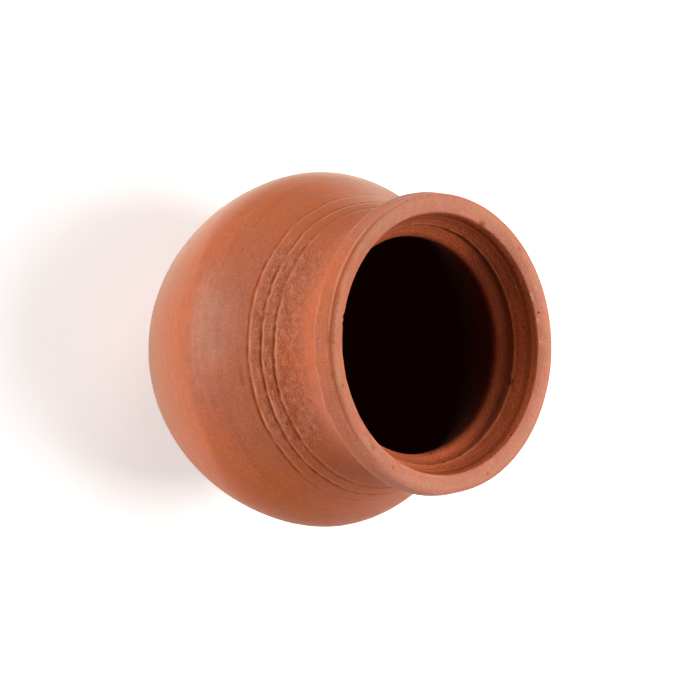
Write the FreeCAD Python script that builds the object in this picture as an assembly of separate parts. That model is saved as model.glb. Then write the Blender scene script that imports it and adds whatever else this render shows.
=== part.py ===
import FreeCAD, Part
import math
import os

# Terracotta water pot, thrown on a wheel as one piece of clay and fired.
# Millimetres. The origin is the centre of the resting face, +Z runs up the pot's own axis.
# One outline of the clay, with its tool lines and lip, is turned about that axis.

# Driving dimensions: outer wall, each rise measured from the level before it
resting_radius = 22.0
lower_belly_radius = 56.8
lower_belly_rise = 20.0
middle_belly_radius = 71.4
middle_belly_rise = 24.0
belly_radius = 78.0
belly_rise = 24.0
belly_height = 16.0
shoulder_radius = 67.4
shoulder_rise = 20.0
collar_radius = 60.0
collar_rise = 12.0
neck_radius = 52.2
neck_rise = 17.5
lip_rise = 22.0

# Driving dimensions: thickness of the clay, and how deep the fingers' rings are inside it
wall_thickness = 5.5
lower_wall_thickness = 6.5
base_thickness = 7.0
finger_ring_depth = 0.3

# Driving dimensions: lip, its drops measured down from the top of the pot
lip_radius = 62.5
lip_side_drop = 7.4
lip_side_lean = 1.3
lip_side_round = 1.8
lip_edge_drop = 0.5
lip_edge_round = 1.2
lip_width = 7.8
lip_crown_width = 2.7
lip_crest_drop = 1.3
lip_crest_round = 1.2

# Driving dimensions: mouth inside the lip, its drops measured down from the top of the pot
cove_radius = 52.2
cove_drop = 6.5
ridge_radius = 50.0
ridge_drop = 12.6
ridge_undercut = 0.55
throat_radius = 45.4
throat_drop = 19.7
throat_length = 3.0
throat_round = 3.0

# Driving dimensions: tool lines pressed round the shoulder, their drops measured from the top
tool_line_drops = (47.9, 43.4, 38.7)
tool_line_width = 2.2
tool_line_depth = 0.6

UP = FreeCAD.Vector(0, 0, 1)
ACROSS = FreeCAD.Vector(0, 1, 0)


def at(radius, height):
    return FreeCAD.Vector(radius, 0, height)


def smooth_curve(points):
    """One smooth curve through the points, in order."""
    curve = Part.BSplineCurve()
    curve.interpolate(points)
    return curve


def inside(point, thickness):
    """Point behind a point of the outer wall, through the thickness of the clay."""
    along = outer_wall.tangent(outer_wall.parameter(point))[0]
    return point - ACROSS.cross(along).normalize() * thickness


def wall_point(drop):
    """Point of the outer wall at a drop from the top of the pot."""
    level = Part.makeLine(at(0, top - drop), at(2 * belly_radius, top - drop))
    return outer_wall.toShape().distToShape(level)[1][0][0]


def wall_stretches(points):
    """Pieces of the outer wall between neighbouring points on it."""
    edges = []
    for lower, upper in zip(points, points[1:]):
        piece = outer_wall.copy()
        piece.segment(outer_wall.parameter(lower), outer_wall.parameter(upper))
        edges.append(piece.toShape())
    return edges


def rounded_path(corners):
    """Straight runs between corners, some of the corners rounded by a radius."""
    edges = []
    start = corners[0][0]
    for (before, _), (corner, radius), (after, _) in zip(corners, corners[1:], corners[2:]):
        end = corner
        if radius:
            to_before = (before - corner).normalize()
            to_after = (after - corner).normalize()
            half_angle = to_before.getAngle(to_after) / 2
            setback = radius / math.tan(half_angle)
            depth = radius / math.sin(half_angle) - radius
            arc_start = corner + to_before * setback
            arc_middle = corner + (to_before + to_after).normalize() * depth
            end = corner + to_after * setback
            edges.append(Part.makeLine(start, arc_start))
            edges.append(Part.Arc(arc_start, arc_middle, end).toShape())
        else:
            edges.append(Part.makeLine(start, corner))
        start = end
    edges.append(Part.makeLine(start, corners[-1][0]))
    return edges


# Outer wall: one smooth curve from the resting face over the belly, shoulder and neck to the lip
resting_edge = at(resting_radius, 0)
lower_belly = at(lower_belly_radius, lower_belly_rise)
middle_belly = at(middle_belly_radius, lower_belly.z + middle_belly_rise)
belly_start = at(belly_radius, middle_belly.z + belly_rise)
belly_end = belly_start + UP * belly_height
shoulder = at(shoulder_radius, belly_end.z + shoulder_rise)
collar = at(collar_radius, shoulder.z + collar_rise)
neck = at(neck_radius, collar.z + neck_rise)
top = neck.z + lip_rise
lip_outer = lip_radius - lip_side_lean
lip_foot = at(lip_outer, top - lip_side_drop - lip_side_round)
below_shoulder = [resting_edge, lower_belly, middle_belly, belly_start, belly_end, shoulder]
outer_wall = smooth_curve(below_shoulder + [collar, neck, lip_foot])

# Tool lines: each one is a shallow notch in the outline
outline = [Part.makeLine(at(0, 0), resting_edge)]
stretch_points = below_shoulder
for drop in tool_line_drops:
    notch_bottom = inside(wall_point(drop), tool_line_depth)
    notch_start = wall_point(drop + tool_line_width / 2)
    notch_end = wall_point(drop - tool_line_width / 2)
    outline += wall_stretches(stretch_points + [notch_start])
    outline.append(Part.makeLine(notch_start, notch_bottom))
    outline.append(Part.makeLine(notch_bottom, notch_end))
    stretch_points = [notch_end]
outline += wall_stretches(stretch_points + [neck, lip_foot])

# Lip and mouth: side, crowned face, crest, cove, lid seat, ridge and throat
throat = at(throat_radius, top - throat_drop)
throat_end = throat - UP * throat_length
outline += rounded_path(
    [
        (lip_foot, 0),
        (at(lip_radius, top - lip_side_drop), lip_side_round),
        (at(lip_outer, top - lip_edge_drop), lip_edge_round),
        (at(lip_outer - lip_crown_width, top), 0),
        (at(lip_outer - lip_width, top - lip_crest_drop), lip_crest_round),
        (at(cove_radius, top - cove_drop), 0),
        (at(ridge_radius, top - ridge_drop), 0),
        (at(ridge_radius + ridge_undercut, top - ridge_drop - ridge_undercut), 0),
        (throat, throat_round),
        (throat_end, 0),
    ]
)

# Inner wall: the curve runs on to its mirror image, so that it crosses the axis level
floor = at(0, base_thickness)
inner_half = [
    throat_end,
    inside(collar, wall_thickness),
    inside(shoulder, wall_thickness),
    inside(belly_end, wall_thickness),
    inside(belly_start, wall_thickness),
    inside(middle_belly, wall_thickness),
    inside(lower_belly, lower_wall_thickness),
]
inner_wall = smooth_curve(inner_half + [floor] + [at(-point.x, point.z) for point in inner_half[::-1]])
inner_wall.segment(inner_wall.FirstParameter, inner_wall.parameter(floor))

# Finger rings: the thrower's fingers leave the inner wall in shallow straight rings
finger_rings = Part.makePolygon(inner_wall.discretize(Deflection=finger_ring_depth))
outline += finger_rings.Edges
outline.append(Part.makeLine(floor, at(0, 0)))

pot = Part.Face(Part.Wire(outline)).revolve(at(0, 0), UP, 360)

os.makedirs("parts", exist_ok=True)
pot.exportStep("parts/pot.step")
print("pot", pot.isValid(), round(pot.Volume), "mm3", pot.BoundBox)
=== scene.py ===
import math

import bmesh
import bpy
import numpy as np
from mathutils import Matrix, Vector, noise


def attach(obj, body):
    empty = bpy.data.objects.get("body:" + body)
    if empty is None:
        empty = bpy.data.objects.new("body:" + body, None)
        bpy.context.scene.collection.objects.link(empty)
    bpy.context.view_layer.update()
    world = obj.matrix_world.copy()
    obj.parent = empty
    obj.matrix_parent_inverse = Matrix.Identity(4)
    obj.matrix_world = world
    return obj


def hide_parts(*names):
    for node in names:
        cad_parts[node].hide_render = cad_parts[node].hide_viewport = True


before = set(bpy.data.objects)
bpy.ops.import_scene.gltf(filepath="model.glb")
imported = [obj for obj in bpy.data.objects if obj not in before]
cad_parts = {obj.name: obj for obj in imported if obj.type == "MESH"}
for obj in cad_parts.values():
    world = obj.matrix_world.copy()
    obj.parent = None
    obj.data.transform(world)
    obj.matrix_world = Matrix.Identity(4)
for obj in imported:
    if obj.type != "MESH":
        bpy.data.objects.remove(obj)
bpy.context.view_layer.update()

# Camera: the photograph looks down into the mouth from about 51 degrees, and is turned so that
# the pot's axis runs towards the right of the picture.
camera_place = (0.0, -0.4394, 0.6393)
camera_turn = math.radians(-0.10)
camera_tilt = math.radians(38.77)
camera_roll = math.radians(87.83)
camera_data = bpy.data.cameras.new("photo_camera")
camera_data.lens = 82.5
camera_data.sensor_width = 36.0
camera = bpy.data.objects.new("photo_camera", camera_data)
camera.matrix_world = (
    Matrix.Translation(camera_place)
    @ Matrix.Rotation(camera_turn, 4, "Z")
    @ Matrix.Rotation(camera_tilt, 4, "X")
    @ Matrix.Rotation(camera_roll, 4, "Z")
)
bpy.context.scene.collection.objects.link(camera)
bpy.context.scene.camera = camera

# Pot: low-fired red earthenware, thrown on a wheel as one piece of clay and fired in an open
# kiln. Its outline is turned round the axis, and the wall is then pressed in where the tool and
# the fingers left their lines, pits and chips. Sizes are radius and height, in millimetres.
MM = 0.001
lip_foot = (61.2, 146.3)
throat = (45.4, 135.8)
throat_end = (45.4, 132.8)
wall_stations = [
    (22.0, 0.0), (56.8, 20.0), (71.4, 44.0), (78.0, 68.0), (78.0, 84.0),
    (67.4, 104.0), (60.0, 116.0), (52.2, 133.5), lip_foot,
]
top_height = 155.5
wall_thickness = 5.5
lower_wall_thickness = 6.5
base_thickness = 7.0
steps_round = 384


def smooth_run(points, spacing):
    """Points at an even spacing on the natural cubic curve through the given points."""
    points = np.array(points)
    chords = np.linalg.norm(np.diff(points, axis=0), axis=1)
    along = np.concatenate([[0.0], np.cumsum(chords)])
    count = len(points)
    system = np.zeros((count, count))
    right_side = np.zeros((count, 2))
    system[0, 0] = system[-1, -1] = 1.0
    for i in range(1, count - 1):
        before, after = chords[i - 1], chords[i]
        system[i, i - 1 : i + 2] = before, 2 * (before + after), after
        slope_before = (points[i] - points[i - 1]) / before
        slope_after = (points[i + 1] - points[i]) / after
        right_side[i] = 6 * (slope_after - slope_before)
    bends = np.linalg.solve(system, right_side)
    samples = np.linspace(0.0, along[-1], max(2, round(along[-1] / spacing) + 1))
    span = np.clip(np.searchsorted(along, samples, side="right") - 1, 0, count - 2)
    width = chords[span][:, None]
    left = (along[span + 1] - samples)[:, None]
    gone = (samples - along[span])[:, None]
    return (
        (bends[span] * left**3 + bends[span + 1] * gone**3) / (6 * width)
        + (points[span] / width - bends[span] * width / 6) * left
        + (points[span + 1] / width - bends[span + 1] * width / 6) * gone
    )


def resampled(points, spacings):
    """Points along a run of points, spaced by a function of the height that it has got to."""
    steps = np.linalg.norm(np.diff(points, axis=0), axis=1)
    along = np.concatenate([[0.0], np.cumsum(steps)])
    where, kept = 0.0, [0.0]
    while where < along[-1]:
        height = np.interp(where, along, points[:, 1])
        where += spacings(height)
        kept.append(where)
    kept = np.array(kept) * along[-1] / kept[-1]
    return np.column_stack([np.interp(kept, along, points[:, i]) for i in (0, 1)])


def rounded_corners(corners, arc_step):
    """Straight runs between corners, with an arc of its own radius at each corner."""
    path = [np.array(corners[0][:2])]
    for before, corner, after in zip(corners, corners[1:], corners[2:]):
        middle = Vector(corner[:2])
        to_before = Vector(before[:2]) - middle
        to_after = Vector(after[:2]) - middle
        setback_limit = 0.48 * min(to_before.length, to_after.length)
        to_before.normalize()
        to_after.normalize()
        half_angle = to_before.angle(to_after) / 2
        setback = min(corner[2] / math.tan(half_angle), setback_limit)
        start, end = middle + to_before * setback, middle + to_after * setback
        arc_length = 2 * setback * math.sin(half_angle)
        count = max(2, math.ceil(arc_length / arc_step))
        for i in range(count + 1):
            t = i / count
            path.append(np.array(start * (1 - t) ** 2 + middle * 2 * t * (1 - t) + end * t**2))
    path.append(np.array(corners[-1][:2]))
    return np.array(path)


run_spacing = 0.25
lip_spacing = 0.45
outer_run = smooth_run(wall_stations, run_spacing)

# Lip and mouth, each corner with its radius: side, crown, crest, cove, lid seat, ridge, throat
mouth_run = rounded_corners(
    [
        (*lip_foot, 0.0), (62.5, 148.1, 0.8), (61.2, 155.0, 1.0), (58.5, top_height, 9.0),
        (53.4, 154.2, 1.0), (52.65, 149.45, 0.5), (52.2, 149.0, 0.5), (49.8, 143.1, 0.3),
        (50.6, 142.3, 0.3), (*throat, 3.0), (*throat_end, 0.0),
    ],
    lip_spacing,
)
wall_slopes = np.gradient(outer_run, axis=0)
wall_normals = np.column_stack([wall_slopes[:, 1], -wall_slopes[:, 0]])
wall_normals /= np.linalg.norm(wall_normals, axis=1)[:, None]


def inside_wall(height, thickness):
    """Point behind the outer wall at a height, through the thickness of the clay."""
    i = int(np.argmin(np.abs(outer_run[:, 1] - height)))
    return tuple(outer_run[i] - wall_normals[i] * thickness)


inner_run = smooth_run(
    [throat_end]
    + [inside_wall(height, wall_thickness) for height in (116.0, 104.0, 84.0, 68.0, 44.0)]
    + [inside_wall(20.0, lower_wall_thickness), (0.0, base_thickness)],
    run_spacing,
)

# Points lie closest where the tool lines are, and inside the belly they lie far apart
spacing_heights = (80, 86, 102, 105, 118, 120, 126, 128)
wall_spacings = (2.8, 1.8, 1.8, 0.32, 0.32, 0.7, 0.7, 1.3)
below_ridge = 141.0
throat_spacing = 1.4
inner_spacing = 8.0
outer_points = resampled(
    outer_run, lambda height: float(np.interp(height, spacing_heights, wall_spacings))
)
mouth_points = resampled(
    mouth_run, lambda height: lip_spacing if height > below_ridge else throat_spacing
)
inner_points = resampled(inner_run, lambda height: inner_spacing)

# The resting face from the axis outwards, and then the whole outline up and back to the axis
base_points = np.array([(0.0, 0.0), (8.0, 0.0), (15.0, 0.0), (19.0, 0.0), (20.8, 0.0)])
outline = np.concatenate([base_points, outer_points, mouth_points[1:], inner_points[1:]])
lip_start = len(base_points) + len(outer_points)
inner_start = lip_start + len(mouth_points) - 1

pot_mesh = bmesh.new()
station_layer = pot_mesh.verts.layers.float.new("station")
outline_verts = []
for i, (radius, height) in enumerate(outline):
    vert = pot_mesh.verts.new((radius * MM, 0.0, height * MM))
    vert[station_layer] = i
    outline_verts.append(vert)
outline_edges = [pot_mesh.edges.new(pair) for pair in zip(outline_verts, outline_verts[1:])]
bmesh.ops.spin(
    pot_mesh, geom=outline_verts + outline_edges, cent=(0, 0, 0), axis=(0, 0, 1),
    angle=math.tau, steps=steps_round, use_merge=True,
)
bmesh.ops.remove_doubles(pot_mesh, verts=pot_mesh.verts, dist=1e-6)
bmesh.ops.recalc_face_normals(pot_mesh, faces=pot_mesh.faces)
pot_data = bpy.data.meshes.new("water_pot")
pot_mesh.to_mesh(pot_data)
pot_mesh.free()

# The thrown form as arrays in millimetres, to press the marks of the making into. Heights are
# a view of the spots, so they follow the pressed wall. Azimuths are in degrees: -90 is the
# front, 0 the right, and the numbers run from -195 to 165.
vert_count = len(pot_data.vertices)
spots = np.empty(3 * vert_count, np.float32)
pot_data.vertices.foreach_get("co", spots)
spots = spots.reshape(-1, 3) / MM
normals = np.empty(3 * vert_count, np.float32)
pot_data.vertex_normals.foreach_get("vector", normals)
normals = normals.reshape(-1, 3)
station = np.empty(vert_count, np.float32)
pot_data.attributes["station"].data.foreach_get("value", station)
station = np.rint(station)
radius = np.hypot(spots[:, 0], spots[:, 1])
height = spots[:, 2]
azimuth = np.degrees(np.arctan2(spots[:, 1], spots[:, 0]))
last_azimuth = 165.0
azimuth = np.where(azimuth > last_azimuth, azimuth - 360.0, azimuth)
on_base = station < len(base_points)
on_wall = ~on_base & (station < lip_start)
on_mouth = (station >= lip_start) & (station < inner_start)
on_inner_wall = station >= inner_start


def wavering(size, stretch=(1.0, 1.0, 1.0), seed=0.0):
    """Smooth unevenness from -1 to 1 over the pot, its waves about a size in millimetres."""
    waves = spots * (np.array(stretch) / size)
    return np.array([noise.noise(Vector(wave) + Vector((seed, 0.0, 0.0))) for wave in waves])


def eased(value, start, end):
    """Smooth step from 0 at the start to 1 at the end."""
    t = np.clip((value - start) / (end - start), 0.0, 1.0)
    return t * t * (3 - 2 * t)


def faded(value, start, end):
    """Smooth step from 1 at the start to 0 at the end."""
    return 1.0 - eased(value, start, end)


def turn_from(place):
    """Angle in degrees round the pot from a place, either way."""
    return np.abs((azimuth - place + 180.0) % 360.0 - 180.0)


def patches(base, contrast, size, stretch=(1.0, 1.0, 1.0), seed=0.0):
    """Uneven cover from 0 to 1, about a base share."""
    return np.clip(base + contrast * wavering(size, stretch, seed), 0.0, 1.0)


def near_edge(edge, spread):
    """From 1 on an edge round the lip to 0 away from it, its spread in square millimetres."""
    edge_radius, edge_height = edge
    away = (radius - edge_radius) ** 2 + (height - edge_height) ** 2
    return on_mouth * np.exp(-away / spread)


def near_level(level, width):
    """From 1 at a height to 0 above and below it."""
    return np.exp(-(((height - level) / width) ** 2))


def near_mark(mark_azimuth, mark_radius, mark_height, width):
    """From 1 at the middle of a round mark to 0 at its rim."""
    turn = math.radians(mark_azimuth)
    middle = (mark_radius * math.cos(turn), mark_radius * math.sin(turn), mark_height)
    return np.maximum(0.0, 1.0 - np.linalg.norm(spots - middle, axis=1) / width)


# How deep each point is pressed in: first the slight unevenness of a wall thrown by hand
press = 0.25 * np.maximum(0.0, wavering(38.0))
press += 0.06 * wavering(9.0, (0.25, 0.25, 3.0), 7.0) + 0.06 * ~on_base

# Each tool line by listed places: azimuth, height and depth. The tool dug in steeply from
# below and pushed up a small burr above.
tool_lines = [
    [
        (-195, 105.6, 0.1), (-172, 107.4, 0.14), (-140, 107.4, 0.25), (-118, 107.4, 0.6),
        (-92, 107.3, 0.35), (-85, 107.3, 0.6), (-45, 107.4, 0.5), (-25, 107.0, 0.1),
        (60, 106.6, 0.3), (165, 105.6, 0.1),
    ],
    [
        (-195, 113.6, 0.15), (-175, 113.4, 0.18), (-140, 113.0, 0.3), (-118, 112.7, 0.55),
        (-95, 112.2, 0.65), (-60, 112.1, 0.65), (-30, 111.8, 0.5), (-15, 111.3, 0.4),
        (70, 112.2, 0.4), (165, 113.6, 0.15),
    ],
    [
        (-195, 117.6, 0.15), (-170, 117.4, 0.18), (-135, 117.4, 0.25), (-110, 117.3, 0.45),
        (-90, 116.8, 0.6), (-50, 116.5, 0.5), (0, 116.2, 0.35), (80, 116.9, 0.4),
        (165, 117.6, 0.15),
    ],
]
line_rises = (-3.2, -0.7, -0.1, 0.15, 0.6, 0.9, 3.2)
line_press = (0.0, 0.25, 1.0, 0.85, -0.05, -0.18, 0.0)
# Each line is coloured darker along its steep lower wall, dirt and painted shade, and paler on
# the burr above, wear and a painted highlight
dark_rises, dark_cover = (-0.8, -0.3, 0.15, 0.5), (0.0, 1.0, 1.0, 0.0)
burr_rises, burr_highlight = (0.2, 0.8, 1.5), (0.0, 1.1, 0.0)
full_line_depth = 0.6
dirt_and_shade = np.zeros(vert_count)
wear_and_highlight = np.zeros(vert_count)
wander = 0.4 * wavering(16.0, (1.0, 1.0, 0.05), 3.0) + 0.3 * wavering(5.0, seed=5.0)
tool_pressure = 0.5 * wavering(11.0, (1.0, 1.0, 0.3), 11.0) + 0.8 * wavering(3.5, seed=13.0)
burr_patches = patches(0.55, 1.6, 6.0, (1.0, 1.0, 2.0), 17.0)
burr_patches *= 0.3 + 0.7 * faded(turn_from(-100.0), 35.0, 55.0)
for places in tool_lines:
    places = np.array(places)
    rise = height - np.interp(azimuth, places[:, 0], places[:, 1]) - wander
    depth = np.interp(azimuth, places[:, 0], places[:, 2])
    depth *= on_wall * np.maximum(0.0, 1 + tool_pressure)
    share = depth / full_line_depth
    press += depth * np.interp(rise, line_rises, line_press)
    dark_share = share**1.5 * np.interp(rise, dark_rises, dark_cover)
    dirt_and_shade = np.maximum(dirt_and_shade, dark_share)
    burr = share * np.interp(rise, burr_rises, burr_highlight) * burr_patches
    wear_and_highlight = np.maximum(wear_and_highlight, burr)

# A stain lies in the upper tool line at the front
stain = np.exp(-(((azimuth + 68.0) / 14.0) ** 2)) * near_level(118.0, 2.5)
dirt_and_shade = np.maximum(dirt_and_shade, 0.5 * stain * on_wall)

# A crease runs round the outer edge of the lip, widest where the thrower's finger rested. It is
# coloured darker.
crease_radius = 60.2
on_lip_top = on_mouth & (height > 153.5)
crease_width = np.interp(azimuth, (-114, -110, -92, -91), (0.4, 1.3, 1.3, 0.4))
crease_strength = np.interp(azimuth, (-165, -130, -60, -35), (0.15, 1.0, 1.0, 0.15))
crease = np.exp(-(((radius - crease_radius - 0.2 * wander) / crease_width) ** 2))
crease *= on_lip_top * crease_strength
press += 0.35 * crease
dirt_and_shade = np.maximum(dirt_and_shade, 1.25 * crease)

# The ridge under the lid seat is sharp and ragged, with a painted highlight along it, and the
# corner of the seat has painted shade
on_ridge = on_mouth * near_level(143.2, 0.6) * (radius < 51.5)
press += on_ridge * (0.25 * wavering(2.2, seed=21.0) - 0.3)
ridge_highlight = on_ridge * patches(0.95, 1.2, 6.0, seed=71.0)
seat_corner = on_mouth * near_level(149.7, 1.1) * (radius < 53.5)
dirt_and_shade = np.maximum(dirt_and_shade, 0.8 * seat_corner)

# The lip's edges are chipped and painted paler, partly wear and partly a painted highlight along
# the crest, and at the back its crest is rounded off
crest, side_edge, lip_edge = (53.6, 154.3), (62.4, 148.1), (61.1, 154.9)
worn_crest = (53.6, 154.1)
on_crest = near_edge(crest, 0.7)
on_side_edge = near_edge(side_edge, 0.3)
lip_back = eased(azimuth, 10.0, 60.0) * faded(azimuth, 130.0, 160.0)
press += 0.3 * on_crest * np.maximum(0.0, wavering(4.5, seed=31.0) - 0.15)
press += 0.7 * lip_back * near_edge(worn_crest, 5.0)
press += 0.2 * on_side_edge * np.maximum(0.0, wavering(7.0, seed=41.0))
rubbed_and_glint = 1.6 * on_crest * faded(turn_from(-45.0), 40.0, 50.0) + 0.8 * on_side_edge
rubbed_and_glint *= patches(0.6, 1.2, 5.0, seed=51.0)
wear_and_highlight = np.maximum(wear_and_highlight, rubbed_and_glint)
rubbed_front = 1.3 * near_edge(lip_edge, 0.25) * faded(turn_from(-118.0), 18.0, 26.0)
wear_and_highlight = np.maximum(wear_and_highlight, rubbed_front)

# Buff dust lies along the crown of the lip, and its top is painted paler
lip_dust = on_lip_top * np.exp(-(((radius - 58.0) / 1.3) ** 2))
dust_at_front = 0.7 * faded(turn_from(-100.0), 10.0, 35.0)
lip_dust *= np.clip(0.4 + dust_at_front + 1.5 * wavering(9.0, seed=61.0), 0.0, 1.0)
lip_rubbing_and_highlight = on_mouth * eased(height, 153.2, 154.8)
lip_rubbing_and_highlight *= 1.0 - 0.5 * faded(turn_from(-90.0), 40.0, 70.0)
lip_rubbing_and_highlight *= 1.0 - 0.8 * eased(radius, 57.8, 59.2) * faded(turn_from(-100.0), 25.0, 45.0)
# The neck is painted paler towards the lip, most at the right front: a painted highlight
lip_rubbing_and_highlight += 0.08 * on_wall * eased(height, 119.0, 128.0)
neck_side = faded(turn_from(-45.0), 15.0, 40.0)
lip_rubbing_and_highlight += 0.5 * on_wall * eased(height, 122.0, 136.0) * neck_side

# Chips and pits: azimuth, radius, height, width and depth
chips = [
    (155, 53.6, 154.3, 2.2, 0.7), (-103, 53.2, 154.2, 1.3, 0.6), (-100, 53.2, 154.1, 1.0, 0.5),
    (69, 50.0, 142.9, 2.0, 0.7), (132, 58.0, top_height, 1.0, 0.4),
    (-46, 57.0, top_height, 1.2, 0.5), (-33, 57.0, top_height, 1.0, 0.4),
    (-80, 60.5, 155.1, 1.2, 0.4), (-75, 56.8, 155.4, 1.1, 0.4), (20, 58.0, top_height, 1.0, 0.3),
    (-86, 59.2, 117.3, 1.8, 0.5), (-60, 59.4, 117.0, 2.2, 0.5), (-102, 62.6, 111.6, 1.3, 0.5),
    (-104, 63.6, 110.0, 1.4, 0.5), (-121, 54.6, 125.5, 1.6, 0.5), (40, 70.0, 100.0, 1.8, 0.4),
    (110, 66.0, 106.0, 1.6, 0.4),
]
pits_by_crease = [(place, 58.4, top_height, 0.75, 0.35) for place in range(-110, -90, 3)]
scratch = [(place, 67.0, 104.3, 0.7, 0.3) for place in np.arange(-85.0, -78.0, 0.7)]
# Each is pressed in and coloured darker
for *place_and_width, depth in chips + pits_by_crease + scratch:
    closeness = near_mark(*place_and_width)
    press += depth * closeness**0.8
    dirt_and_shade = np.maximum(dirt_and_shade, np.minimum(1.0, 2.0 * closeness))

# Chalky grains show at the back of the crest: azimuth, radius, height and width
chalk_grains = [
    (111, 53.9, 154.5, 1.3), (109, 54.0, 154.6, 1.1), (99, 54.5, 154.9, 1.2),
    (89, 54.8, 155.0, 1.0), (113, 57.0, 155.4, 0.9),
]
chalk = np.zeros(vert_count)
for grain_place in chalk_grains:
    chalk = np.maximum(chalk, 0.8 * near_mark(*grain_place))

# The front of the neck was scraped while wet, which left it lumpy
scraped = faded(turn_from(-92.0), 30.0, 55.0) * on_wall
scraped *= eased(height, 106.0, 112.0) * faded(height, 124.0, 129.0)
lumps = wavering(2.5, seed=81.0)
press += 0.45 * scraped * lumps
# The high spots of the lumps are painted paler, a painted highlight, and the low spots darker,
# painted shade
high_spots = scraped * np.clip(-3.0 * lumps - 0.3, 0.0, 1.0)
low_spots = scraped * np.clip(3.0 * lumps - 0.3, 0.0, 1.0)
wear_and_highlight = np.maximum(wear_and_highlight, 0.5 * high_spots)
dirt_and_shade = np.maximum(dirt_and_shade, 0.2 * low_spots)

# The resting face stays flat, and the lip was thrown a little off the middle of the belly
press *= ~on_base
spots -= normals * press[:, None]
lip_shift = np.array((-0.4, 0.2, 0.0))
spots += eased(height, 95.0, 148.0)[:, None] * lip_shift
pot_data.vertices.foreach_set("co", (spots * MM).astype(np.float32).ravel())

# Painted shade darkens the inside from the throat down, part way up the back of the throat and
# at one side of the seat, and the lid seat above is painted a brighter red for the light that
# bounces inside the mouth
painted_inside_shade = 0.55 * lip_back * faded(height, 141.5, 142.8)
painted_inside_shade += (1.0 - painted_inside_shade) * faded(height, 132.5, 138.0)
painted_inside_shade *= on_mouth & (radius < 51.0)
seat_side_shade = on_mouth * (radius < 53.0) * faded(turn_from(last_azimuth), 30.0, 70.0)
painted_inside_shade += 0.26 * seat_side_shade * (1.0 - painted_inside_shade)
painted_inside_shade = np.where(on_inner_wall, 1.0, painted_inside_shade)
seat_bounce_light = on_mouth * (radius < 54.0) * faded(height, 152.6, 154.4)
inside_and_painted_bounce = np.where(on_inner_wall, 1.0, seat_bounce_light)

# Sand shows where the wall was scraped, and the wheel's streaks show most inside the mouth
open_grain = 0.35 + 0.3 * eased(height, 80.0, 87.0) - 0.2 * eased(turn_from(-95.0), 35.0, 60.0)
open_grain += 1.1 * scraped
open_grain = np.where(on_mouth & (radius < 53.0), 1.2, np.where(on_mouth, 0.8, open_grain))
streaking = 1.0 + 4.5 * on_mouth * (radius < 53.2) + 0.5 * on_mouth

# The belly is paler below a wavy edge, most towards the left, partly paler clay and partly
# painted light on the lit side. It is redder away from the front, and a pale patch above the
# edge at the front is a painted sheen
edge_azimuths = (-195, -170, -150, -127, -110, -60, -25, 90, 165)
edge_heights = (30, 45, 66, 78, 84, 83, 60, 50, 30)
pale_clay_edge = np.interp(azimuth, edge_azimuths, edge_heights) + 2.0 * wander
pale_clay_and_painted_light = faded(height - pale_clay_edge, -1.6, 1.0) * ~on_mouth
pale_clay_and_painted_light *= 0.2 + 0.8 * faded(turn_from(-120.0), 60.0, 100.0)
limb_dust = 0.05 + 0.6 * faded(turn_from(-135.0), 45.0, 88.0) * ~on_mouth
fire_flash = eased(turn_from(-97.0), 25.0, 60.0) * on_wall
sheen_place = np.hypot((azimuth + 99.0) / 20.0, (height - 90.0) / 13.0)
painted_sheen_patch = 0.8 * faded(sheen_place, 0.2, 1.3) * eased(height, 82.5, 85.5) * on_wall

# How strongly each finish, painted light and painted shade shows at each point
clay_marks = {
    "fire_flash": fire_flash,
    "pale_clay_and_painted_light": 0.5 * pale_clay_and_painted_light,
    "painted_sheen_patch": painted_sheen_patch,
    "lip_rubbing_and_highlight": 0.5 * lip_rubbing_and_highlight,
    "lip_dust": 0.6 * lip_dust,
    "inside_and_painted_bounce": 0.8 * inside_and_painted_bounce,
    "dirt_and_shade": 0.8 * dirt_and_shade,
    "wear_and_highlight": 0.6 * wear_and_highlight,
    "ridge_highlight": ridge_highlight,
    "chalk": chalk,
    "painted_inside_shade": painted_inside_shade,
    "limb_dust": limb_dust,
    "open_grain": open_grain,
    "streaking": streaking,
}
for name, values in clay_marks.items():
    layer = pot_data.attributes.new(name, "FLOAT", "POINT")
    layer.data.foreach_set("value", values.astype(np.float32))
pot_data.attributes.remove(pot_data.attributes["station"])
pot_data.polygons.foreach_set("use_smooth", [True] * len(pot_data.polygons))
pot_data.update()
water_pot = bpy.data.objects.new("water_pot", pot_data)
bpy.context.scene.collection.objects.link(water_pot)


def linear_colour(hex_colour):
    """Linear RGBA of an sRGB hex colour."""
    channels = [int(hex_colour[i : i + 2], 16) / 255 for i in (1, 3, 5)]
    linear = [c / 12.92 if c <= 0.04045 else ((c + 0.055) / 1.055) ** 2.4 for c in channels]
    return linear + [1.0]


def add_node(tree, kind, settings, links):
    """A node with its properties and unlinked inputs set, and its other inputs linked."""
    node = tree.nodes.new(kind)
    for key, value in settings.items():
        if isinstance(key, str) and hasattr(node, key):
            setattr(node, key, value)
        else:
            node.inputs[key].default_value = value
    for key, source in links.items():
        tree.links.new(source, node.inputs[key])
    return node


# Fired red earthenware, thrown, scraped and left unglazed: a warm iron red, matt, with lighter
# and duller clouds from the kiln, fine sand, open pores and faint wheel streaks.
clay = bpy.data.materials.new("fired_red_earthenware")
clay.use_nodes = True
tree = clay.node_tree
shader = tree.nodes["Principled BSDF"]
place = add_node(tree, "ShaderNodeTexCoord", {}, {}).outputs["Object"]
marks_on_clay = {
    name: add_node(tree, "ShaderNodeAttribute", {"attribute_name": name}, {}).outputs["Fac"]
    for name in clay_marks
}

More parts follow.
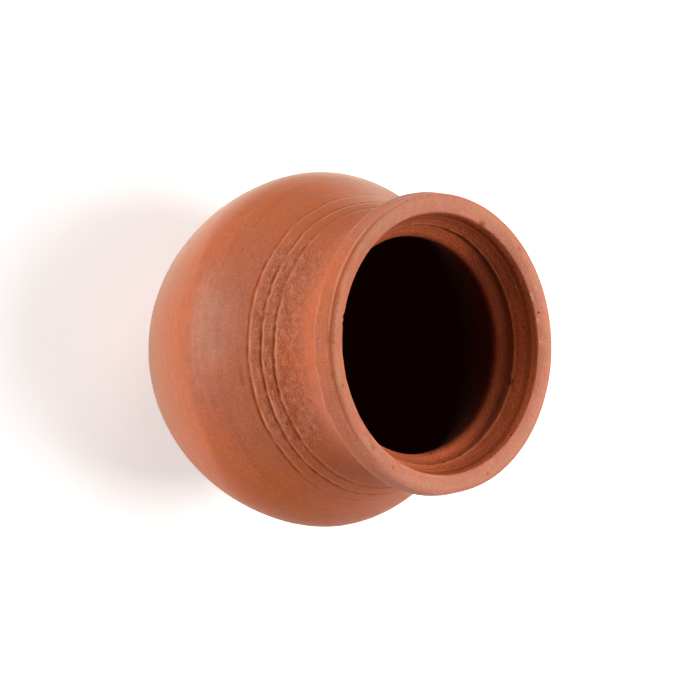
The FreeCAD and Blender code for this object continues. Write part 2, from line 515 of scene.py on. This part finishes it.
# Kiln clouds of two reds, 50 mm across
clouds = add_node(
    tree, "ShaderNodeTexNoise",
    {"Scale": 1 / (50 * MM), "Detail": 3.0, "Roughness": 0.55}, {"Vector": place},
).outputs["Fac"]
cloud_share = add_node(
    tree, "ShaderNodeMapRange", {"From Min": 0.38, "From Max": 0.64}, {"Value": clouds}
).outputs["Result"]
colour = add_node(
    tree, "ShaderNodeMix",
    {"data_type": "RGBA", 6: linear_colour("#B85C34"), 7: linear_colour("#AE5F40")},
    {0: cloud_share},
).outputs[2]

# Flashes of redder clay follow the clouds. Then come the paler clay with its painted light, a
# painted sheen in patches of 8 mm, the rubbed lip with its painted highlight, the dusty lip, and
# the brighter red inside the mouth, painted bounce light.
flash_patches = add_node(
    tree, "ShaderNodeMapRange",
    {"From Min": 0.4, "From Max": 0.62, "To Min": 1.0, "To Max": 0.45}, {"Value": clouds},
).outputs["Result"]
sheen_patches = add_node(
    tree, "ShaderNodeTexNoise", {"Scale": 1 / (8.33 * MM), "Detail": 4.0}, {"Vector": place}
).outputs["Fac"]
for mark, mark_colour, mark_patches in (
    ("fire_flash", "#B45828", flash_patches),
    ("pale_clay_and_painted_light", "#C4704C", None),
    ("painted_sheen_patch", "#C48E78", sheen_patches),
    ("lip_rubbing_and_highlight", "#E2957B", None),
    ("lip_dust", "#C08A5E", None),
    ("inside_and_painted_bounce", "#D4663A", None),
):
    share = marks_on_clay[mark]
    if mark_patches is not None:
        share = add_node(
            tree, "ShaderNodeMath", {"operation": "MULTIPLY"}, {0: share, 1: mark_patches}
        ).outputs[0]
    colour = add_node(
        tree, "ShaderNodeMix", {"data_type": "RGBA", 7: linear_colour(mark_colour)},
        {0: share, 6: colour},
    ).outputs[2]

# Wheel streaks: 2.5 mm high and drawn out to 71 mm round the pot
streak_place = add_node(
    tree, "ShaderNodeMapping",
    {"Scale": (1 / (71.4 * MM), 1 / (71.4 * MM), 1 / (2.5 * MM))}, {"Vector": place},
).outputs["Vector"]
streaks = add_node(
    tree, "ShaderNodeTexNoise", {"Scale": 1.0, "Detail": 5.0, "Roughness": 0.65},
    {"Vector": streak_place},
).outputs["Fac"]
streaks = add_node(
    tree, "ShaderNodeMapRange",
    {"From Min": 0.4, "From Max": 0.6, "To Min": -0.05, "To Max": 0.04}, {"Value": streaks},
).outputs["Result"]
streak_tone = add_node(
    tree, "ShaderNodeMath", {"operation": "MULTIPLY_ADD", 2: 1.0},
    {0: streaks, 1: marks_on_clay["streaking"]},
).outputs[0]

# Sand in the clay: real grains are about 0.5 mm, drawn at 0.67 mm so that they show
grain = add_node(
    tree, "ShaderNodeTexNoise",
    {"Scale": 1 / (0.6667 * MM), "Detail": 2.0, "Roughness": 0.7}, {"Vector": place},
).outputs["Fac"]
grain_contrast = add_node(
    tree, "ShaderNodeMapRange",
    {"From Min": 0.36, "From Max": 0.64, "To Min": -0.1, "To Max": 0.1}, {"Value": grain},
).outputs["Result"]
grain_tone = add_node(
    tree, "ShaderNodeMath", {"operation": "MULTIPLY_ADD", 2: 1.0},
    {0: grain_contrast, 1: marks_on_clay["open_grain"]},
).outputs[0]

# Mottling: 4.4 mm patches of denser and more open clay
mottle = add_node(
    tree, "ShaderNodeTexNoise",
    {"Scale": 1 / (4.35 * MM), "Detail": 5.0, "Roughness": 0.65}, {"Vector": place},
).outputs["Fac"]
mottle_tone = add_node(
    tree, "ShaderNodeMapRange",
    {"From Min": 0.32, "From Max": 0.68, "To Min": 0.9, "To Max": 1.09}, {"Value": mottle},
).outputs["Result"]
tone = streak_tone
for further_tone in (grain_tone, mottle_tone):
    tone = add_node(
        tree, "ShaderNodeMath", {"operation": "MULTIPLY"}, {0: tone, 1: further_tone}
    ).outputs[0]
colour = add_node(
    tree, "ShaderNodeVectorMath", {"operation": "SCALE"}, {"Vector": colour, "Scale": tone}
).outputs["Vector"]

# Painted glints on the palest grains of sand
grain_glints = add_node(
    tree, "ShaderNodeMapRange", {"From Min": 0.5, "From Max": 0.7, "To Max": 0.26},
    {"Value": grain},
).outputs["Result"]
grain_glints = add_node(
    tree, "ShaderNodeMath", {"operation": "MULTIPLY"},
    {0: grain_glints, 1: marks_on_clay["open_grain"]},
).outputs[0]

# Dark pores and iron specks, up to 1.2 mm across, in a few of the cells of 3 mm
pores = add_node(tree, "ShaderNodeTexVoronoi", {"Scale": 1 / (3.03 * MM)}, {"Vector": place})
pore_size = add_node(
    tree, "ShaderNodeMapRange", {"From Min": 0.7, "From Max": 1.0, "To Min": 0.0, "To Max": 0.2},
    {"Value": pores.outputs["Color"]},
).outputs["Result"]
pore = add_node(
    tree, "ShaderNodeMath", {"operation": "LESS_THAN"},
    {0: pores.outputs["Distance"], 1: pore_size},
).outputs[0]

# Over the clay come painted glints on the sand, pores, the darker lines, crease, chips and seat
# corner (dirt and painted shade), rubbed edges with painted highlights, the painted highlight of
# the ridge, chalk and the painted shade inside
for share, cover_colour in (
    (grain_glints, "#D8A086"),
    (pore, "#7A3A20"),
    (marks_on_clay["dirt_and_shade"], "#A0481A"),
    (marks_on_clay["wear_and_highlight"], "#DA9070"),
    (marks_on_clay["ridge_highlight"], "#E0885A"),
    (marks_on_clay["chalk"], "#E8C6A0"),
    (marks_on_clay["painted_inside_shade"], "#5A2416"),
):
    colour = add_node(
        tree, "ShaderNodeMix", {"data_type": "RGBA", 7: linear_colour(cover_colour)},
        {0: share, 6: colour},
    ).outputs[2]
tree.links.new(colour, shader.inputs["Base Color"])

# Matt all over, deader inside, and a little smoother where the clay is dense
shine = add_node(
    tree, "ShaderNodeMapRange", {"From Max": 0.8, "To Min": 0.2, "To Max": 0.04},
    {"Value": marks_on_clay["inside_and_painted_bounce"]},
).outputs["Result"]
tree.links.new(shine, shader.inputs["Specular IOR Level"])
gloss = add_node(
    tree, "ShaderNodeMapRange",
    {"From Min": 0.35, "From Max": 0.65, "To Min": 0.48, "To Max": 0.68}, {"Value": mottle},
).outputs["Result"]
tree.links.new(gloss, shader.inputs["Roughness"])

# Fine dust pales the belly where it turns away from the eye
facing = add_node(tree, "ShaderNodeLayerWeight", {"Blend": 0.5}, {}).outputs["Facing"]
dust_sheen = add_node(
    tree, "ShaderNodeMapRange", {"From Min": 0.45, "From Max": 0.85}, {"Value": facing}
).outputs["Result"]
dust_sheen = add_node(
    tree, "ShaderNodeMath", {"operation": "MULTIPLY"},
    {0: dust_sheen, 1: marks_on_clay["limb_dust"]},
).outputs[0]
tree.links.new(dust_sheen, shader.inputs["Sheen Weight"])
shader.inputs["Sheen Roughness"].default_value = 0.5
shader.inputs["Sheen Tint"].default_value = linear_colour("#FFF6E0")

# Sand and mottling stand up to 0.4 mm proud, and pores are as deep
relief = add_node(
    tree, "ShaderNodeMath", {"operation": "MULTIPLY"},
    {0: grain, 1: marks_on_clay["open_grain"]},
).outputs[0]
relief = add_node(
    tree, "ShaderNodeMath", {"operation": "MULTIPLY_ADD", 1: 0.8}, {0: mottle, 2: relief}
).outputs[0]
relief = add_node(
    tree, "ShaderNodeMath", {"operation": "SUBTRACT"}, {0: relief, 1: pore}
).outputs[0]
bump = add_node(
    tree, "ShaderNodeBump", {"Strength": 1.0, "Distance": 0.4 * MM}, {"Height": relief}
).outputs["Normal"]
tree.links.new(bump, shader.inputs["Normal"])
pot_data.materials.append(clay)

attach(water_pot, "root")
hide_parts("pot")

# Floor: a wide sheet of white studio paper under the pot. The camera sees it as white, apart
# from the soft shadow of the pot.
floor_half_width = 3.0
floor_data = bpy.data.meshes.new("studio_floor")
floor_mesh = bmesh.new()
bmesh.ops.create_grid(floor_mesh, x_segments=1, y_segments=1, size=floor_half_width)
floor_mesh.to_mesh(floor_data)
floor_mesh.free()
studio_floor = bpy.data.objects.new("studio_floor", floor_data)
bpy.context.scene.collection.objects.link(studio_floor)


def seen_directly(tree):
    """1 for what the camera sees, also in a reflection or through glass, and 0 for light."""
    rays = add_node(tree, "ShaderNodeLightPath", {}, {}).outputs
    seen = rays["Is Camera Ray"]
    for ray in ("Is Glossy Ray", "Is Transmission Ray"):
        seen = add_node(
            tree, "ShaderNodeMath", {"operation": "MAXIMUM"}, {0: seen, 1: rays[ray]}
        ).outputs[0]
    return seen


# White seamless paper: matt, and lifted to white where the camera or a reflection sees it, in
# full beyond the pot's shadow
paper = bpy.data.materials.new("white_seamless_paper")
paper.use_nodes = True
tree = paper.node_tree
shader = tree.nodes["Principled BSDF"]
shader.inputs["Base Color"].default_value = linear_colour("#F0F0EE")
shader.inputs["Roughness"].default_value = 0.9
spot_on_floor = add_node(tree, "ShaderNodeTexCoord", {}, {}).outputs["Object"]
distance_off = add_node(
    tree, "ShaderNodeVectorMath", {"operation": "LENGTH"}, {0: spot_on_floor}
).outputs["Value"]
whiteness = add_node(
    tree, "ShaderNodeMapRange",
    {"From Min": 0.3, "From Max": 0.9, "To Min": 0.5, "To Max": 1.0}, {"Value": distance_off},
).outputs["Result"]
glow = add_node(
    tree, "ShaderNodeMath", {"operation": "MULTIPLY"}, {0: seen_directly(tree), 1: whiteness}
).outputs[0]
white = add_node(tree, "ShaderNodeEmission", {}, {"Strength": glow}).outputs[0]
seen_paper = add_node(
    tree, "ShaderNodeAddShader", {}, {0: shader.outputs[0], 1: white}
).outputs[0]
tree.links.new(seen_paper, tree.nodes["Material Output"].inputs["Surface"])
floor_data.materials.append(paper)


# Light: soft boxes of white cloth round the pot. A low strip in front lights the belly and neck,
# one at the side lights the wall that faces left, and one behind lights the top of the lip.
def soft_box(name, place, target, size, watts):
    """A rectangular soft box at a place, turned towards a target."""
    data = bpy.data.lights.new(name, "AREA")
    data.shape = "RECTANGLE"
    data.size, data.size_y = size
    data.energy = watts
    box = bpy.data.objects.new(name, data)
    box.location = place
    box.rotation_euler = (Vector(target) - Vector(place)).to_track_quat("-Z", "Y").to_euler()
    bpy.context.scene.collection.objects.link(box)


soft_box("low_front_strip", (-0.1, -0.95, 0.12), (0.0, 0.0, 0.07), (1.2, 0.22), 7.8)
soft_box("side_box", (-0.9, 0.1, 0.4), (0.0, 0.0, 0.1), (0.6, 0.6), 2.9)
soft_box("back_box", (0.1, 0.6, 1.1), (0.0, 0.0, 0.1), (0.7, 0.7), 14.2)

# White studio walls: they fill the shadows faintly, and the camera sees them as white
studio_fill = 0.12
studio_walls = bpy.data.worlds.new("white_studio")
studio_walls.use_nodes = True
tree = studio_walls.node_tree
brightness = add_node(
    tree, "ShaderNodeMapRange", {"To Min": studio_fill, "To Max": 1.0},
    {"Value": seen_directly(tree)},
).outputs["Result"]
background = tree.nodes["Background"]
background.inputs["Color"].default_value = (1.0, 1.0, 1.0, 1.0)
tree.links.new(brightness, background.inputs["Strength"])
bpy.context.scene.world = studio_walls
bpy.context.scene.view_settings.view_transform = "Standard"
